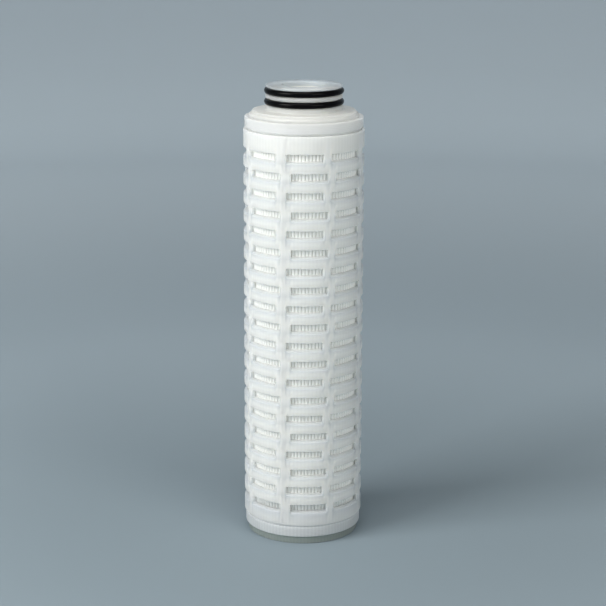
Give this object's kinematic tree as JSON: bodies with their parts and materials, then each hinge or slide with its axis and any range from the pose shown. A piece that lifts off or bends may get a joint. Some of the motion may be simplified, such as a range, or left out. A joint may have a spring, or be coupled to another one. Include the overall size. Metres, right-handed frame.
{
  "type": "membrane filter cartridge",
  "caption": "Pleated membrane filter cartridge: slotted cage round a folded sheet pack on a core, flat closed end, and an O-ring spigot with a through outlet.",
  "frame": {"origin": "centre of the flat closed end, on the surface that the cartridge stands on", "axes": "+Z along the centre line from the closed end to the outlet spigot, -Y towards the front in the picture, +X to the right"},
  "size_m": [0.069, 0.069, 0.2641],
  "materials": {
    "closed_cap": "natural translucent polypropylene, moulded",
    "open_cap": "natural translucent polypropylene, moulded",
    "adapter": "natural translucent polypropylene, moulded",
    "seal_rubber": "smooth black moulded rubber",
    "cage": "natural translucent polypropylene, satin from the mould",
    "support_fabric": "white nonwoven, folded",
    "membrane_sheet": "white microporous film, folded",
    "core": "natural translucent polypropylene, moulded"
  },
  "bodies": {
    "root": {"bottom_end_cap": "closed_cap", "top_end_cap": "open_cap", "spigot_adapter": "adapter", "lower_o_ring": "seal_rubber", "upper_o_ring": "seal_rubber", "outer_cage": "cage", "upstream_support": "support_fabric", "membrane": "membrane_sheet", "downstream_support": "support_fabric", "inner_core": "core"}
  },
  "joints": []
}
